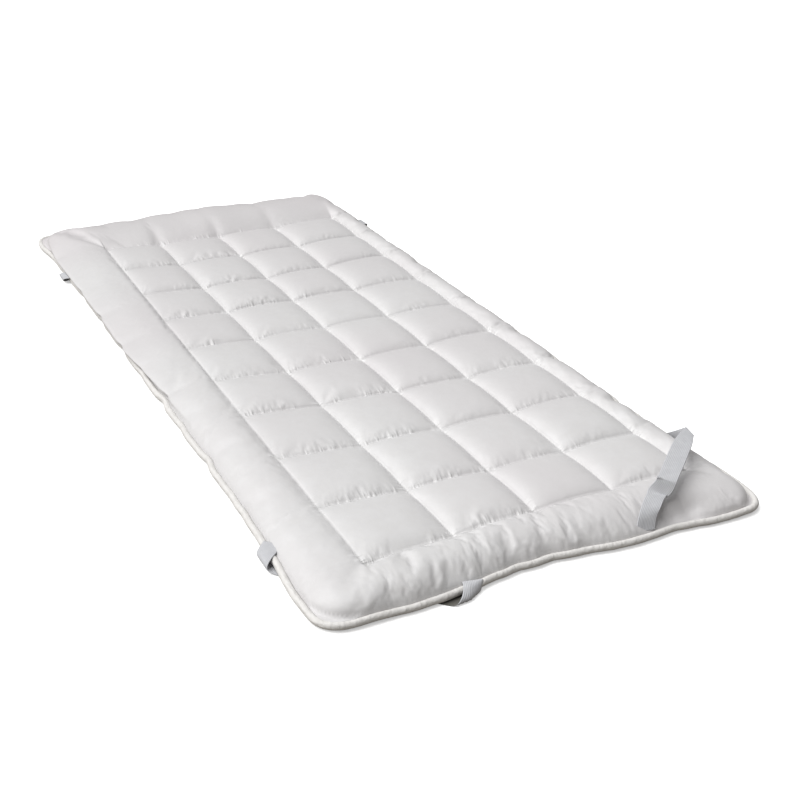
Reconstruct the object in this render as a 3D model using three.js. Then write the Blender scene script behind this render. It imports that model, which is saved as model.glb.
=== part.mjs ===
// Quilted mattress pad: one filled, box-stitched body, a corded piping round its edge and four flat
// elastic corner straps. Millimetres, +Z up. The pad lies on z = 0 with its long sides along Y, and the
// origin is the centre of its footprint. "Near" is the -Y end, "far" is the +Y end.

import * as THREE from "three";

// ---- Driving dimensions (mm) --------------------------------------------------------------------

// Outline, measured over the piping.
const HALF_LENGTH = 1000;
const HALF_WIDTH = 419;
const CORNER_FLARE = { left: 22, right: 5 }; // the long sides are drawn in this much between corners
const CORNER_FLARE_POWER = 6;
const FLARE_END = 940; // y at which a side has spread in full
const NEAR_DRAW_IN = { depth: 23, centre: -30, spread: 140, inset: 7, skew: 4 };
const FAR_BOW = 8; // the far end bows out by this much at its middle
const CORNER_PULL = 12; // how far a corner is pulled in on each axis to round it

// Quilting: straight seams across both faces, every one stitched right through the filling.
const CELL_WIDTH = 161.6;
const COLUMNS = 4;
const CELL_LENGTH = 181.7;
const END_CELL_LENGTH = 169.7; // the first and last rows are shorter
const ROWS = 9;
const LEFT_SEAM_X = -306.3;
const NEAR_SEAM_Y = -861.5;

// Loft of the filling.
const SEAM_TOP = 26; // height of the top panel at a seam
const SEAM_BOTTOM = 21; // height of the bottom panel at a seam
const CELL_CROWN = 24; // rise of a cell above its seams
const BELLY = 30; // fall of the bottom panel below its seams, cut off flat where it rests
const ROLL_CROWN = { left: 20, right: 18, near: 18, far: 23 }; // rise of the border roll on each side
const ROLL_CREST = 0.32; // place of the roll's crest, from the inner seam (0) to the edge (1)
const ROLL_FULLNESS = { sides: 2.4, near: 2.4, far: 5 }; // how square the roll falls to the edge
const ROLL_DIP = 0.15; // share of the roll's rise lost where a quilting seam ends at it
const LOFT_POWER = 0.6;
const ROLL_CORNER_POWER = 4;

// Piping: a covered cord sewn into the edge seam.
const PIPING_RADIUS = 6.5;
const PIPING_HEIGHT = 9; // of its centre
const PIPING_SIDES = 6;
const EDGE_TOP = 12; // the body's thin edge, which the piping hides
const EDGE_BOTTOM = 6;
const GAP = 0.3; // between neighbouring pieces

// Corner straps: flat woven elastic.
const STRAP_WIDTH = 35;
const STRAP_THICKNESS = 1.6;
const STRAP_LIFT = 2.6; // height of the body over a strap that passes beneath it
const STRAP_LIFT_MARGIN = 95; // how far inside a strap's centre line the body is already lifted
const LOOP_REACH = 20; // how far a loop stands out from the centre of the piping
const SEWN_DEPTH = 1.2; // how far a strap's end reaches in over the body's edge
const RAISED_FOOT_REACH = 3; // a raised strap's end stands this far out from the body's edge
const RAISED_FOOT_HEIGHT = 14.9;

// Steps across one border, from the inner seam (0) to the edge (1), and across one cell.
const BORDER_STEPS = [0.12, 0.4, 0.85, 1];
const FAR_BORDER_STEPS = [0.08, 0.3, 0.66, 0.92, 1];
const CELL_STEPS = [0.12, 0.34, 0.66, 0.88, 1];

// ---- Materials ----------------------------------------------------------------------------------

const satin = new THREE.MeshStandardMaterial({ color: 0xeceaea, roughness: 0.55, metalness: 0 });
const cordCover = new THREE.MeshStandardMaterial({ color: 0xe6e3e2, roughness: 0.6, metalness: 0 });
const elastic = new THREE.MeshStandardMaterial({ color: 0xdcdee2, roughness: 0.8, metalness: 0 });

// ---- Outline ------------------------------------------------------------------------------------

const PIPING_DEPTH = 2 * PIPING_RADIUS * Math.cos(Math.PI / PIPING_SIDES);
const BODY_INSET = PIPING_DEPTH + GAP; // from the outline in to the body's edge

// Half the width over the piping at y, on one side (-1 left, 1 right).
function halfWidthAt(side, y) {
  const flare = side < 0 ? CORNER_FLARE.left : CORNER_FLARE.right;
  return HALF_WIDTH + flare * Math.min(Math.abs(y) / FLARE_END, 1) ** CORNER_FLARE_POWER;
}

// y of the near end over the piping at x: drawn in left of the middle, and a little askew.
function nearEndAt(x) {
  const { depth, centre, spread, inset, skew } = NEAR_DRAW_IN;
  const drawn = depth * Math.exp(-(((x - centre) / spread) ** 2));
  return -HALF_LENGTH + inset + drawn - (skew * x) / HALF_WIDTH;
}

// y of the far end over the piping at x.
function farEndAt(x) {
  return HALF_LENGTH - FAR_BOW * (x / HALF_WIDTH) ** 2;
}

// ---- Stations across the body -------------------------------------------------------------------

// Each station is { cell, t, border }: its cell's number and place 0-1 in it, and its place 0-1 in the
// border, negative on the low side and 0 inside the quilted field.
function stations(cells, lowSteps, highSteps) {
  const low = [...lowSteps].reverse().map((s) => ({ cell: 0, t: 0, border: -s }));
  const field = [{ cell: 0, t: 0, border: 0 }];
  for (let cell = 0; cell < cells; cell++) {
    for (const t of CELL_STEPS) field.push({ cell, t, border: 0 });
  }
  const high = highSteps.map((s) => ({ cell: cells - 1, t: 1, border: s }));
  return [...low, ...field, ...high];
}

const acrossStations = stations(COLUMNS, BORDER_STEPS, BORDER_STEPS);
const alongStations = stations(ROWS, BORDER_STEPS, FAR_BORDER_STEPS);

const seamX = (column) => LEFT_SEAM_X + CELL_WIDTH * column;

function seamY(row) {
  if (row === 0) return NEAR_SEAM_Y;
  const full = Math.min(row, ROWS - 1) - 1;
  return NEAR_SEAM_Y + END_CELL_LENGTH * (row === ROWS ? 2 : 1) + CELL_LENGTH * full;
}

// Plan position of the grid point at one station across and one along.
function planPoint(across, along) {
  const fieldX = THREE.MathUtils.lerp(seamX(across.cell), seamX(across.cell + 1), across.t);
  const fieldY = THREE.MathUtils.lerp(seamY(along.cell), seamY(along.cell + 1), along.t);
  const sx = Math.abs(across.border);
  const sy = Math.abs(along.border);
  const signX = Math.sign(across.border);
  const signY = Math.sign(along.border);
  const edgeX = signX * (halfWidthAt(signX, fieldY) - BODY_INSET);
  const edgeY = signY < 0 ? nearEndAt(fieldX) + BODY_INSET : farEndAt(fieldX) - BODY_INSET;
  const depthX = sx ? Math.abs(edgeX - fieldX) : 0;
  const depthY = sy ? Math.abs(edgeY - fieldY) : 0;
  let x = fieldX + signX * sx * depthX;
  let y = fieldY + signY * sy * depthY;
  if (sx && sy) {
    // The power that makes the rounded outline pass its diagonal without a corner.
    const power = Math.sqrt((depthX - CORNER_PULL) * (depthY - CORNER_PULL)) / CORNER_PULL;
    x -= signX * CORNER_PULL * sx * sy ** power;
    y -= signY * CORNER_PULL * sy * sx ** power;
  }
  return { x, y };
}

// ---- Heights ------------------------------------------------------------------------------------

// Rise of stitched, filled cloth between two seams at t = 0 and t = 1.
const loft = (t) => (4 * t * (1 - t)) ** LOFT_POWER;

// Height of the border roll: 0 at its ends, 1 at its crest, steep from the seam and round to the edge.
function rollProfile(s, fullness) {
  if (s < ROLL_CREST) return Math.sqrt(1 - (1 - s / ROLL_CREST) ** 2);
  return Math.sqrt(1 - ((s - ROLL_CREST) / (1 - ROLL_CREST)) ** fullness);
}

// Place 0-1 in the border roll, the height of its crest above the seam, and its fullness.
function roll(across, along) {
  const sx = Math.abs(across.border);
  const sy = Math.abs(along.border);
  const crownX = across.border < 0 ? ROLL_CROWN.left : ROLL_CROWN.right;
  const crownY = along.border < 0 ? ROLL_CROWN.near : ROLL_CROWN.far;
  const fullnessY = along.border < 0 ? ROLL_FULLNESS.near : ROLL_FULLNESS.far;
  const shareX = sx ** 2 / (sx ** 2 + sy ** 2);
  const crown = THREE.MathUtils.lerp(crownY, crownX, shareX);
  const fullness = THREE.MathUtils.lerp(fullnessY, ROLL_FULLNESS.sides, shareX);
  const s = Math.min(1, (sx ** ROLL_CORNER_POWER + sy ** ROLL_CORNER_POWER) ** (1 / ROLL_CORNER_POWER));
  const beside = sx && sy ? 1 : loft(sx ? along.t : across.t);
  return { s, crest: crown * (1 - ROLL_DIP * (1 - beside) * (1 - s)), fullness };
}

function topHeight(across, along) {
  if (!across.border && !along.border) return SEAM_TOP + CELL_CROWN * loft(across.t) * loft(along.t);
  const { s, crest, fullness } = roll(across, along);
  const foot = s < ROLL_CREST ? SEAM_TOP : EDGE_TOP;
  return THREE.MathUtils.lerp(foot, SEAM_TOP + crest, rollProfile(s, fullness));
}

function bottomHeight(across, along, x, y) {
  let z = SEAM_BOTTOM - BELLY * loft(across.t) * loft(along.t);
  if (across.border || along.border) {
    const { s } = roll(across, along);
    z = THREE.MathUtils.lerp(SEAM_BOTTOM, EDGE_BOTTOM, s) - BELLY * loft(s);
  }
  return Math.max(z, underStraps.some((strap) => strap.lifts(x, y)) ? STRAP_LIFT : 0);
}

// ---- Straps -------------------------------------------------------------------------------------

// A foot is where a strap is sewn into the edge seam: a point on the body's edge, with the unit
// directions out of the body and along the edge towards the nearest corner.
function sideFoot(side, y) {
  const edge = new THREE.Vector3(side * (halfWidthAt(side, y) - BODY_INSET), y, 0);
  return { edge, out: new THREE.Vector3(side, 0, 0), along: new THREE.Vector3(0, Math.sign(y), 0) };
}

function endFoot(end, x) {
  const endAt = (at) => (end < 0 ? nearEndAt(at) + BODY_INSET : farEndAt(at) - BODY_INSET);
  const slope = endAt(x + 1) - endAt(x);
  const along = new THREE.Vector3(1, slope, 0).normalize().multiplyScalar(Math.sign(x));
  return { edge: new THREE.Vector3(x, endAt(x), 0), out: new THREE.Vector3(0, end, 0), along };
}

// Stations of a strap's end as it leaves the seam above the piping, loops out and turns in under the
// body. It winds round the edge at a constant slant: advance along the edge for each mm of its arc.
function loopStations({ edge, out, along }, slant) {
  const steps = 8;
  const top = PIPING_HEIGHT + PIPING_RADIUS + 2 * GAP + STRAP_THICKNESS / 2;
  const bottom = STRAP_THICKNESS / 2;
  const rise = (top - bottom) / 2;
  const half = along.clone().multiplyScalar((STRAP_WIDTH / 2) * Math.hypot(1, slant));
  const place = (outward, z, advance) =>
    edge.clone().addScaledVector(out, outward).addScaledVector(along, advance).setZ(z);
  const middle = PIPING_DEPTH / 2 + GAP;
  const found = [{ centre: place(-SEWN_DEPTH, top, -slant * (middle + SEWN_DEPTH)), half }];
  let arc = 0;
  for (let i = 0; i <= steps; i++) {
    const angle = Math.PI * (0.5 - i / steps);
    if (i > 0) {
      const stepAngle = angle + Math.PI / (2 * steps);
      arc += (Math.PI / steps) * Math.hypot(LOOP_REACH * Math.sin(stepAngle), rise * Math.cos(stepAngle));
    }
    const outward = middle + LOOP_REACH * Math.cos(angle);
    found.push({ centre: place(outward, bottom + rise * (1 + Math.sin(angle)), slant * arc), half });
  }
  return found;
}

// A strap that crosses a corner underneath the body, flat on the ground between its two loops.
function underStrap(name, side, y, sideSlant, end, x, endSlant) {
  const first = loopStations(sideFoot(side, y), sideSlant);
  const last = loopStations(endFoot(end, x), endSlant).reverse();
  const from = first.at(-1).centre;
  const to = last[0].centre;
  const direction = to.clone().sub(from).normalize();
  const towardsCorner = new THREE.Vector3(side, end, 0);
  const half = new THREE.Vector3(-direction.y, direction.x, 0);
  half.multiplyScalar((Math.sign(half.dot(towardsCorner)) * STRAP_WIDTH) / 2);
  const flat = [0.25, 0.5, 0.75].map((t) => ({ centre: from.clone().lerp(to, t), half }));
  const outwards = half.clone().normalize();
  const lifts = (px, py) => new THREE.Vector3(px, py, 0).sub(from).dot(outwards) > -STRAP_LIFT_MARGIN;
  return { name, stations: [...first, ...flat, ...last], lifts };
}

const underStraps = [
  underStrap("strap_near_left", -1, -742, 0.9, -1, -168, 0.9),
  underStrap("strap_far_left", -1, 650, 0.8, 1, -165, 0.6),
  underStrap("strap_far_right", 1, 700, 0.7, 1, 165, 0.6),
];

// The near right strap stands up over its corner: it rises from the near end, half twists, crosses
// above the corner, bends sharply at its peak and comes down to the right side.
const raisedFeet = { near: endFoot(-1, 169), side: sideFoot(1, -722) };
const RAISED_STRAP = [
  // centre x, y, z, half width x, y, z
  [173, -974, 32, 17, -3, 1],
  [186, -960, 46, 16, -6, 2],
  [206, -945, 58, 15, -9, 1],
  [229, -929, 66, 14, -11, 0],
  [250, -915, 70, 12, -13, 1],
  [281, -890, 73, 11, -14, 1],
  [310, -867, 75, 9, -15, 1],
  [340, -842, 76, 8, -15, 0],
  [380, -808, 75, 4, -16, -5],
  [401, -784, 66, 2, -16, -5],
  [411, -753, 42, 1, -17, -3],
];

function raisedStations() {
  const footAt = ({ edge, out, along }, halfWidth) => ({
    centre: edge.clone().addScaledVector(out, RAISED_FOOT_REACH).setZ(RAISED_FOOT_HEIGHT),
    half: along.clone().multiplyScalar(halfWidth),
  });
  const between = RAISED_STRAP.map(([x, y, z, hx, hy, hz]) => ({
    centre: new THREE.Vector3(x, y, z),
    half: new THREE.Vector3(hx, hy, hz),
  }));
  return [footAt(raisedFeet.near, STRAP_WIDTH / 2), ...between, footAt(raisedFeet.side, STRAP_WIDTH / 2)];
}

// ---- Solids -------------------------------------------------------------------------------------

function solidFrom(points, triangles) {
  const geometry = new THREE.BufferGeometry();
  geometry.setAttribute("position", new THREE.Float32BufferAttribute(points.flatMap((p) => p.toArray()), 3));
  geometry.setIndex(triangles.flat());
  geometry.computeVertexNormals();
  return geometry;
}

// A solid swept through rings of equal point counts, with its ends capped, or joined up when closed.
function sweep(rings, closed) {
  const count = rings[0].length;
  const triangles = [];
  const last = closed ? rings.length : rings.length - 1;
  for (let i = 0; i < last; i++) {
    const here = i * count;
    const next = ((i + 1) % rings.length) * count;
    for (let k = 0; k < count; k++) {
      const m = (k + 1) % count;
      triangles.push([here + k, next + k, next + m], [here + k, next + m, here + m]);
    }
  }
  if (!closed) {
    const end = (rings.length - 1) * count;
    for (let k = 1; k < count - 1; k++) {
      triangles.push([0, k, k + 1], [end, end + k + 1, end + k]);
    }
  }
  return solidFrom(rings.flat(), triangles);
}

// A flat band along its stations, each with a centre and the vector from there to one of its edges.
function ribbon(stationList) {
  const rings = stationList.map(({ centre, half }, i) => {
    const before = stationList[Math.max(i - 1, 0)].centre;
    const after = stationList[Math.min(i + 1, stationList.length - 1)].centre;
    const normal = after.clone().sub(before).cross(half).normalize().multiplyScalar(STRAP_THICKNESS / 2);
    const corner = (side, face) => centre.clone().addScaledVector(half, side).addScaledVector(normal, face);
    return [corner(-1, 1), corner(1, 1), corner(1, -1), corner(-1, -1)];
  });
  return sweep(rings, false);
}

// The stations of a band, smoothed: each stretch is divided along a curve through the given ones.
function smoothed(stationList, steps) {
  const centres = new THREE.CatmullRomCurve3(stationList.map((s) => s.centre));
  const halves = new THREE.CatmullRomCurve3(stationList.map((s) => s.half));
  const count = (stationList.length - 1) * steps;
  return Array.from({ length: count + 1 }, (_, i) => ({
    centre: centres.getPoint(i / count),
    half: halves.getPoint(i / count),
  }));
}

// The filled body: a top and a bottom panel over one grid, joined round its thin edge.
const grid = alongStations.map((along) =>
  acrossStations.map((across) => ({ across, along, ...planPoint(across, along) })),
);

function padBody() {
  const columns = acrossStations.length;
  const rows = alongStations.length;
  const cells = grid.flat();
  const top = cells.map((c) => new THREE.Vector3(c.x, c.y, topHeight(c.across, c.along)));
  const bottom = cells.map((c) => new THREE.Vector3(c.x, c.y, bottomHeight(c.across, c.along, c.x, c.y)));
  const under = cells.length;
  const triangles = [];
  for (let j = 0; j < rows - 1; j++) {
    for (let i = 0; i < columns - 1; i++) {
      const a = j * columns + i;
      const [b, c, d] = [a + 1, a + columns + 1, a + columns];
      triangles.push([a, b, c], [a, c, d]);
      triangles.push([under + a, under + c, under + b], [under + a, under + d, under + c]);
    }
  }
  const loop = edgeLoop();
  loop.forEach((a, k) => {
    const b = loop[(k + 1) % loop.length];
    triangles.push([a, under + a, under + b], [a, under + b, b]);
  });
  return solidFrom([...top, ...bottom], triangles);
}

// Indices of the grid's outer points, counterclockwise from above.
function edgeLoop() {
  const columns = acrossStations.length;
  const rows = alongStations.length;
  const at = (j, i) => j * columns + i;
  return [
    ...Array.from({ length: columns - 1 }, (_, i) => at(0, i)),
    ...Array.from({ length: rows - 1 }, (_, j) => at(j, columns - 1)),
    ...Array.from({ length: columns - 1 }, (_, i) => at(rows - 1, columns - 1 - i)),
    ...Array.from({ length: rows - 1 }, (_, j) => at(rows - 1 - j, 0)),
  ];
}

// The piping follows the body's edge all the way round, a gap away from it.
function pipingLoop() {
  const cells = grid.flat();
  const edge = edgeLoop().map((index) => new THREE.Vector3(cells[index].x, cells[index].y, PIPING_HEIGHT));
  const offset = GAP + PIPING_DEPTH / 2;
  const rings = edge.map((point, k) => {
    const before = edge.at(k - 1);
    const after = edge[(k + 1) % edge.length];
    const direction = after.clone().sub(before).normalize();
    const out = new THREE.Vector3(direction.y, -direction.x, 0);
    const turn = point.clone().sub(before).normalize().dot(direction);
    const centre = point.clone().addScaledVector(out, offset / turn);
    return Array.from({ length: PIPING_SIDES }, (_, side) => {
      const angle = (2 * Math.PI * (side + 0.5)) / PIPING_SIDES;
      const radial = (PIPING_RADIUS * Math.cos(angle)) / turn;
      const z = PIPING_HEIGHT + PIPING_RADIUS * Math.sin(angle);
      return centre.clone().addScaledVector(out, radial).setZ(z);
    });
  });
  return sweep(rings, true);
}

// ---- The pad ------------------------------------------------------------------------------------

const group = new THREE.Group();

function addPiece(name, geometry, material) {
  const mesh = new THREE.Mesh(geometry, material);
  mesh.name = name;
  group.add(mesh);
}

addPiece("pad", padBody(), satin);
addPiece("piping", pipingLoop(), cordCover);
for (const strap of underStraps) addPiece(strap.name, ribbon(strap.stations), elastic);
addPiece("strap_near_right", ribbon(smoothed(raisedStations(), 3)), elastic);

export default group;
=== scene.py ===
import bpy
import numpy as np
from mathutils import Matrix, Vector


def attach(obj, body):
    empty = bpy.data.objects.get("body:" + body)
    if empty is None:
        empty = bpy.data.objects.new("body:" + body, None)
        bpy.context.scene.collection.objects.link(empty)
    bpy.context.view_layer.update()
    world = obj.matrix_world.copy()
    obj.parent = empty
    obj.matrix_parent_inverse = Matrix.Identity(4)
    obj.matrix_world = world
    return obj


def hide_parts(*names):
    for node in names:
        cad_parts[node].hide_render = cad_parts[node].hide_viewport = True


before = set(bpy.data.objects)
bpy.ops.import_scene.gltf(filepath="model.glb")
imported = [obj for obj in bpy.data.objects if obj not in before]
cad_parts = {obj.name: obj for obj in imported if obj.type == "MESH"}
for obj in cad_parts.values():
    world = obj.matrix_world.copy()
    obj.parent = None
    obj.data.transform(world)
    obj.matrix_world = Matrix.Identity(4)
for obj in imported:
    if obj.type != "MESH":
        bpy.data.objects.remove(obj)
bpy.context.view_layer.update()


# ---- Filled body -----------------------------------------------------------------------------------
# Two panels of white satin with fibre filling between them, quilted right through into cells and closed
# at the edge seam. The machine feeds the cloth fuller than the thread, so it puckers along each cross
# seam, while the long seams are sewn under tension and stay clean.

MM = 0.001
COLUMNS = 4
ROWS = 9
CELL_WIDTH = 161.6 * MM
CELL_LENGTH = 181.7 * MM
END_CELL_LENGTH = 169.7 * MM
LEFT_SEAM_X = -306.3 * MM
NEAR_SEAM_Y = -861.5 * MM

HALF_LENGTH = 1000 * MM
HALF_WIDTH = 419 * MM
FLARE = {"left": 22 * MM, "right": 5 * MM}  # the sides spread by this much at the corners
FLARE_END = 940 * MM
FLARE_POWER = 6
NEAR_INSET = 7 * MM
NEAR_SKEW = 4 * MM
NEAR_DRAWN_IN = 23 * MM  # the near end is drawn in most at NEAR_DRAW_CENTRE, over NEAR_DRAW_SPREAD
NEAR_DRAW_CENTRE = -30 * MM
NEAR_DRAW_SPREAD = 140 * MM
FAR_BOW = 8 * MM
CORNER_PULL = 12 * MM
PIPING_RADIUS = 6.3 * MM
EDGE_INSET = 2 * PIPING_RADIUS - 1.0 * MM  # from the outline in to the body's edge, under the piping

SEAM_TOP = 24 * MM
SEAM_RISE = {"across": 5 * MM, "along": 2.5 * MM}  # of a seam between two crossings
LEFT_LIFT = 9 * MM  # the left seam is sewn down less than the others, so its roll slopes to the edge
LEFT_LIFT_REACH = 2 / 3  # of a column, over which that lift fades into the cells
SEAM_BOTTOM = 21 * MM
CELL_CROWN = 20 * MM  # before the filling swells it
CELL_FILLING = (0.88, 1.1)  # the least and the most filled cell's share of that crown
CELL_FULLNESS = {"across": 3.2, "along": 2.4}  # how square a cell rises from its seams
CELL_SOFTNESS = 0.55
CROWN_UNEVENNESS = 0.14  # of a roll, as a share of its crown
CROWN_UNEVENNESS_SIZE = 0.6  # in cells
BELLY = 30 * MM
ROLL_CROWN = {  # in mm, at the near, middle and far place of a side, or left, middle and right of an end
    "left": (15, 15, 18), "right": (11, 15, 17), "near": (13, 13, 12), "far": (21, 27, 20),
}
ROLL_FULLNESS = {"left": 2.0, "right": 2.8, "near": 4.4, "far": 4.5}
ROLL_CREST = {"left": 0.15, "right": 0.36, "near": 0.36, "far": 0.4}  # its place from seam to edge
ROLL_CORNER_POWER = 4
EDGE_TOP = 12 * MM
EDGE_BOTTOM = 6 * MM

# How far the machine wandered from straight at three places along each seam.
CROSS_SEAM_SWAY = [  # towards the far end, in mm: at the left, in the middle, at the right
    (-10, 10, 8), (6, -5, -4), (14, -6, -2), (22, -6, -12), (15, -10, 0),
    (12, 0, -8), (4, 0, -4), (2, -16, 5), (0, -16, -8), (0, -18, -8),
]
LONG_SEAM_SWAY = [  # towards the right, in mm: at the near end, in the middle, at the far end
    (-3, 2, 10), (8, -3, -10), (6, 1, -10), (6, -2, -10), (6, 5, 8),
]

# Where the edge is pinched in: how far along it, and how deep, in mm.
EDGE_PINCHES = {
    "left": [
        (-610, 2), (-410, 5), (-250, 2), (-130, 6), (20, 2), (160, 5), (340, 5), (520, 3), (770, 3),
    ],
    "right": [
        (-895, 5), (-640, 4), (-565, 7), (-340, 6), (-190, 6), (0, 2), (130, 1), (300, 5), (480, 3),
        (660, 4), (810, 3),
    ],
    "near": [
        (-300, 4), (-190, 2), (-125, 3), (-76, 5), (-10, 4), (60, 2), (165, 3), (195, 5), (225, 5),
        (267, 3),
    ],
    "far": [(-260, 3), (-175, 5), (-60, 3), (15, 2), (110, 2), (185, 4), (290, 2)],
}
PINCH_WIDTH = 20 * MM

# The grid of the top panel. Its steps are multiples of the bottom panel's stride.
COLUMN_STEPS = 57
ROW_STEPS = 27
BORDER_STEPS = {"left": 27, "right": 21, "near": 27, "far": 27}
CROWDING = {"across": 0.2, "along": 0.45, "border": 0.45}  # how much closer its lines lie at a seam
BOTTOM_STRIDE = 3


def crowded(count, crowding):
    """Even steps t from 0 to 1, moved to t - crowding * sin(2 pi t) / (2 pi): closer at both ends."""
    t = np.arange(count + 1) / count
    return t - crowding * np.sin(2 * np.pi * t) / (2 * np.pi)


def stations(cells, cell_steps, low_steps, high_steps, crowding):
    """Places along one direction of the quilt, in cells: -1 to 0 is the low border, 0 to cells the
    quilted field, and cells to cells + 1 the high border."""
    field = (np.arange(cells)[:, None] + crowded(cell_steps, crowding)[:-1]).ravel()
    low = crowded(low_steps, CROWDING["border"])[:-1] - 1
    high = cells + crowded(high_steps, CROWDING["border"])
    return np.concatenate([low, field, high])


def three_point_curve(table, place, amount):
    """Each row of the table is a parabola through its three values at amount 0, 1/2 and 1, in mm. The
    value at a place between rows is their weighted mean."""
    rows = np.array(table) * MM
    weights = [2 * (amount - 0.5) * (amount - 1), 4 * amount * (1 - amount), 2 * amount * (amount - 0.5)]
    count = np.arange(len(rows))
    return sum(np.interp(place, count, rows[:, k]) * weights[k] for k in range(3))


def pinched(edge, place):
    """Depth of an edge's pinches at a place along it: a sum of bells."""
    at, depth = np.array(EDGE_PINCHES[edge]).T * MM
    return (depth * np.exp(-(((np.asarray(place)[..., None] - at) / PINCH_WIDTH) ** 2))).sum(axis=-1)


def outline_x(side, y):
    """Half the width, plus a flare that grows as a power of the distance from the middle, less the
    pinches."""
    flare = np.where(side < 0, FLARE["left"], FLARE["right"])
    pinch = np.where(side < 0, pinched("left", y), pinched("right", y))
    return side * (HALF_WIDTH + flare * np.minimum(np.abs(y) / FLARE_END, 1) ** FLARE_POWER - pinch)


def outline_y(end, x):
    """The near end is a skewed line with a bell-shaped draw-in; the far end is a shallow parabola; both
    less their pinches."""
    drawn = NEAR_DRAWN_IN * np.exp(-(((x - NEAR_DRAW_CENTRE) / NEAR_DRAW_SPREAD) ** 2))
    near = -HALF_LENGTH + NEAR_INSET + drawn - NEAR_SKEW * x / HALF_WIDTH + pinched("near", x)
    far = HALF_LENGTH - FAR_BOW * (x / HALF_WIDTH) ** 2 - pinched("far", x)
    return np.where(end < 0, near, far)


def border_shares(u, v):
    """Across and along the pad: 0 in the quilted field, growing over the borders to 1 at the edge."""
    return np.maximum(np.maximum(-u, u - COLUMNS), 0), np.maximum(np.maximum(-v, v - ROWS), 0)


SEAM_YS = NEAR_SEAM_Y + np.concatenate([
    [0],
    END_CELL_LENGTH + CELL_LENGTH * np.arange(ROWS - 1),
    [2 * END_CELL_LENGTH + CELL_LENGTH * (ROWS - 2)],
])


def plan(u, v):
    """Plan position of the place u cells across and v cells along. The field is a grid of straight
    seams with their sway; each border runs straight on from it to the outline; at the corners both are
    pulled in, by a power that rounds the outline."""
    cross, along = border_shares(u, v)
    side, end = np.where(u < 0, -1, 1), np.where(v < 0, -1, 1)
    field_u = np.clip(u, 0, COLUMNS)
    field_v = np.clip(v, 0, ROWS)
    x0 = LEFT_SEAM_X + CELL_WIDTH * field_u
    y0 = np.interp(field_v, np.arange(ROWS + 1), SEAM_YS)
    edge_x = outline_x(side, y0) - side * EDGE_INSET
    edge_y = outline_y(end, x0) - end * EDGE_INSET
    sway_x = three_point_curve(LONG_SEAM_SWAY, field_u, field_v / ROWS)
    sway_y = three_point_curve(CROSS_SEAM_SWAY, field_v, field_u / COLUMNS)
    x = x0 + (edge_x - x0) * cross + sway_x * (1 - cross) * (1 - along)
    y = y0 + (edge_y - y0) * along + sway_y * (1 - cross) * (1 - along)
    depth = np.sqrt(
        np.maximum(np.abs(edge_x - x0) - CORNER_PULL, CORNER_PULL)
        * np.maximum(np.abs(edge_y - y0) - CORNER_PULL, CORNER_PULL)
    )
    power = depth / CORNER_PULL
    x = x - side * CORNER_PULL * cross * along ** power
    y = y - end * CORNER_PULL * along * cross ** power
    return x, y


def loft(t, fullness):
    """Rise of filled cloth between two seams: a superellipse, 1 at the middle and 0 at both seams."""
    return np.maximum(1 - np.abs(2 * t - 1) ** fullness, 0) ** CELL_SOFTNESS


def cell_loft(u, v):
    """A cell's rise: the loft across it times the loft along it."""
    across = loft(np.clip(u, 0, COLUMNS) % 1, CELL_FULLNESS["across"])
    return across * loft(np.clip(v, 0, ROWS) % 1, CELL_FULLNESS["along"])


TINY = 1e-9  # kept between a value and the zero or the limit that it mustn't reach


def side_share(u, v):
    """1 on a side border, 0 on an end border; in a corner, weighted by the squares of both shares."""
    cross, along = border_shares(u, v)
    return cross ** 2 / np.maximum(cross ** 2 + along ** 2, TINY)


def by_border(u, v, left, right, near, far):
    """A border's value at each place: the side's and the end's, mixed by the side's share."""
    share = side_share(u, v)
    return np.where(u < 0, left, right) * share + np.where(v < 0, near, far) * (1 - share)


def roll(u, v):
    """Place 0 to 1 from the inner seam to the edge: where two borders meet, a mean by a high power."""
    cross, along = border_shares(u, v)
    power = ROLL_CORNER_POWER
    return np.minimum((cross ** power + along ** power) ** (1 / power), 1)


def roll_profile(s, crest, fullness):
    """A flattened quarter circle up to the crest, then a quarter of a superellipse down to the edge."""
    rise = np.maximum(1 - (1 - s / crest) ** 2, 0) ** 0.75
    fall = np.maximum(1 - (np.maximum(s - crest, 0) / (1 - crest)) ** fullness, 0) ** 0.5
    return np.where(s < crest, rise, fall)


LATTICE = 257  # values a side, after which the noise repeats
LATTICE_MIDDLE = 1000.5  # the lattice's place at the origin


def lattice_noise(x, y, size, rng):
    """Smooth noise from -1 to 1: random values on a square lattice, blended with smoothstep weights."""
    place = np.stack([x, y]) / size + LATTICE_MIDDLE
    corner = np.floor(place).astype(int)
    part = place - corner
    across, along = part * part * (3 - 2 * part)
    left, near = corner % LATTICE
    right, far = (corner + 1) % LATTICE
    values = rng.uniform(-1, 1, (LATTICE, LATTICE))
    low = values[left, near] * (1 - across) + values[right, near] * across
    high = values[left, far] * (1 - across) + values[right, far] * across
    return low * (1 - along) + high * along


RIDGE_STEP = 0.5 * MM  # between the places of a row of ridges
# The least and the most of a ridge's distance to the next, height, and width.
RIDGE_GAP = (0.45, 1.7)  # in spacings
RIDGE_HEIGHT = (0.15, 1)  # before a power that makes low ones more common
RIDGE_WIDTH = (0.2, 0.42)  # in spacings


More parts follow.
